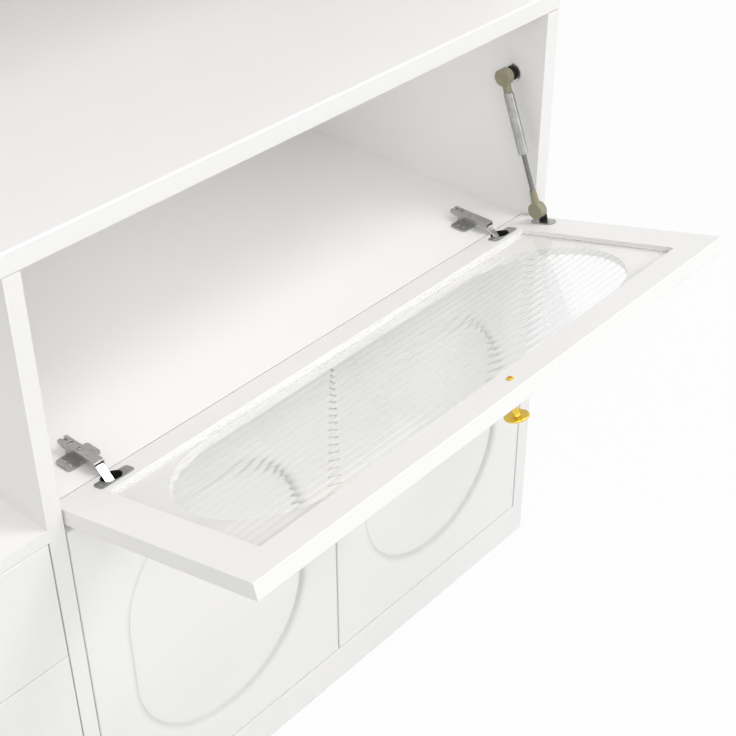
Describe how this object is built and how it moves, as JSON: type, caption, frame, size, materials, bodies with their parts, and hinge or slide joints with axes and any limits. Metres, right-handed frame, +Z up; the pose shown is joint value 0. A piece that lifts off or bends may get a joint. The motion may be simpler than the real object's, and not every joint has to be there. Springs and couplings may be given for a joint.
{
  "type": "tall kitchen cabinet",
  "caption": "tall white kitchen cabinet with a drop-down flap of fluted glass held by a strut, stadium-panelled doors, drawers, an open niche and a hutch above the counter",
  "frame": {"origin": "on the floor, in the middle of the width, in the plane of the back that stands to the wall", "axes": "+X to the right seen from the front, +Y from the front to the wall, +Z up"},
  "size_m": [1.2, 0.7835, 1.9],
  "materials": {
    "white_paint": "satin white lacquer on board",
    "back_board": "white-faced hardboard",
    "drawer_birch": "pale lacquered birch",
    "brass": "brushed gold",
    "bright_steel": "bright nickel",
    "plated_steel": "satin nickel plate",
    "chrome": "polished",
    "khaki_plastic": "moulded",
    "fluted_glass": "fluted, clear"
  },
  "bodies": {
    "carcass": {"left_side_panel": "white_paint", "divider_panel": "white_paint", "right_side_panel": "white_paint", "countertop": "white_paint", "bay_floor": "white_paint", "niche_floor": "white_paint", "bottom_panels": "white_paint", "plinth_boards": "white_paint", "back_panel": "back_board", "cupboard_shelf": "white_paint", "drawer_rails": "drawer_birch", "strut_wall_stud": "bright_steel", "flap_hinge_arms": "plated_steel", "flap_hinge_plates": "plated_steel", "door_hinge_arms": "plated_steel", "hutch_left_side": "white_paint", "hutch_right_side": "white_paint", "hutch_divider": "white_paint", "hutch_floor": "white_paint", "hutch_top": "white_paint", "hutch_shelves": "white_paint", "wall_rails": "white_paint"},
    "flap_link_pair": {"flap_hinge_links": "bright_steel"},
    "flap": {"flap_frame": "white_paint", "flap_glass": "fluted_glass", "flap_knob": "brass", "flap_knob_screw": "brass", "flap_hinge_cups": "plated_steel", "strut_bracket": "plated_steel"},
    "strut_cylinder": {"strut_tube": "chrome", "strut_tube_socket": "khaki_plastic"},
    "strut_piston": {"strut_rod": "bright_steel", "strut_rod_socket": "khaki_plastic"},
    "lower_left_door_link_pair": {"lower_left_door_hinge_links": "bright_steel"},
    "lower_left_door_leaf": {"lower_left_door": "white_paint", "lower_left_door_knob": "brass", "lower_left_door_hinge_cups": "plated_steel"},
    "lower_right_door_link_pair": {"lower_right_door_hinge_links": "bright_steel"},
    "lower_right_door_leaf": {"lower_right_door": "white_paint", "lower_right_door_knob": "brass", "lower_right_door_hinge_cups": "plated_steel"},
    "upper_left_door_link_pair": {"upper_left_door_hinge_links": "bright_steel"},
    "upper_left_door_leaf": {"upper_left_door": "white_paint", "upper_left_door_knob": "brass", "upper_left_door_hinge_cups": "plated_steel"},
    "upper_right_door_link_pair": {"upper_right_door_hinge_links": "bright_steel"},
    "upper_right_door_leaf": {"upper_right_door": "white_paint", "upper_right_door_knob": "brass", "upper_right_door_hinge_cups": "plated_steel"},
    "drawer_1": {"drawer_1_front": "white_paint", "drawer_1_box": "drawer_birch", "drawer_1_knob": "brass"},
    "drawer_2": {"drawer_2_front": "white_paint", "drawer_2_box": "drawer_birch", "drawer_2_knob": "brass"},
    "drawer_3": {"drawer_3_front": "white_paint", "drawer_3_box": "drawer_birch", "drawer_3_knob": "brass"}
  },
  "joints": [
    {"name": "flap_link_swing", "type": "hinge", "parent": "carcass", "child": "flap_link_pair", "pos_m": [0.177, -0.4744, 0.5811], "axis": [1, 0, 0], "range_deg": [0, 14.51]},
    {"name": "flap_swing", "type": "hinge", "parent": "flap_link_pair", "child": "flap", "pos_m": [0.177, -0.49364, 0.565], "axis": [1, 0, 0], "range_deg": [-89.4, 0]},
    {"name": "strut_cylinder_swing", "type": "hinge", "parent": "carcass", "child": "strut_cylinder", "pos_m": [0.557, -0.453, 0.769], "axis": [1, 0, 0], "range_deg": [0, 17.26]},
    {"name": "strut_piston_swing", "type": "hinge", "parent": "flap", "child": "strut_piston", "pos_m": [0.557, -0.5186, 0.59919], "axis": [1, 0, 0], "range_deg": [0, 92.16]},
    {"name": "lower_left_door_link_swing", "type": "hinge", "parent": "carcass", "child": "lower_left_door_link_pair", "pos_m": [-0.1874, -0.4746, 0.302], "axis": [0, 0, -1], "range_deg": [-20.01, 0]},
    {"name": "lower_left_door_swing", "type": "hinge", "parent": "lower_left_door_link_pair", "child": "lower_left_door_leaf", "pos_m": [-0.2088, -0.49, 0.302], "axis": [0, 0, -1], "range_deg": [0, 108]},
    {"name": "lower_right_door_link_swing", "type": "hinge", "parent": "carcass", "child": "lower_right_door_link_pair", "pos_m": [0.5414, -0.4746, 0.302], "axis": [0, 0, 1], "range_deg": [-20.01, 0]},
    {"name": "lower_right_door_swing", "type": "hinge", "parent": "lower_right_door_link_pair", "child": "lower_right_door_leaf", "pos_m": [0.5628, -0.49, 0.302], "axis": [0, 0, 1], "range_deg": [0, 108]},
    {"name": "upper_left_door_link_swing", "type": "hinge", "parent": "carcass", "child": "upper_left_door_link_pair", "pos_m": [-0.1874, -0.3946, 1.607], "axis": [0, 0, -1], "range_deg": [-20.01, 0]},
    {"name": "upper_left_door_swing", "type": "hinge", "parent": "upper_left_door_link_pair", "child": "upper_left_door_leaf", "pos_m": [-0.2088, -0.41, 1.607], "axis": [0, 0, -1], "range_deg": [0, 108]},
    {"name": "upper_right_door_link_swing", "type": "hinge", "parent": "carcass", "child": "upper_right_door_link_pair", "pos_m": [0.5414, -0.3946, 1.607], "axis": [0, 0, 1], "range_deg": [-20.01, 0]},
    {"name": "upper_right_door_swing", "type": "hinge", "parent": "upper_right_door_link_pair", "child": "upper_right_door_leaf", "pos_m": [0.5628, -0.41, 1.607], "axis": [0, 0, 1], "range_deg": [0, 108]},
    {"name": "drawer_1_slide", "type": "slide", "parent": "carcass", "child": "drawer_1", "axis": [0, -1, 0], "range_m": [0, 0.3]},
    {"name": "drawer_2_slide", "type": "slide", "parent": "carcass", "child": "drawer_2", "axis": [0, -1, 0], "range_m": [0, 0.3]},
    {"name": "drawer_3_slide", "type": "slide", "parent": "carcass", "child": "drawer_3", "axis": [0, -1, 0], "range_m": [0, 0.3]}
  ],
  "couplings": [
    {"joint": "flap_link_swing", "follows": "flap_swing", "ratio": -0.16219},
    {"joint": "strut_cylinder_swing", "follows": "flap_swing", "ratio": -0.19295},
    {"joint": "strut_piston_swing", "follows": "flap_swing", "ratio": -1.0308},
    {"joint": "lower_left_door_link_swing", "follows": "lower_left_door_swing", "ratio": -0.18518},
    {"joint": "lower_right_door_link_swing", "follows": "lower_right_door_swing", "ratio": -0.18518},
    {"joint": "upper_left_door_link_swing", "follows": "upper_left_door_swing", "ratio": -0.18518},
    {"joint": "upper_right_door_link_swing", "follows": "upper_right_door_swing", "ratio": -0.18518}
  ]
}
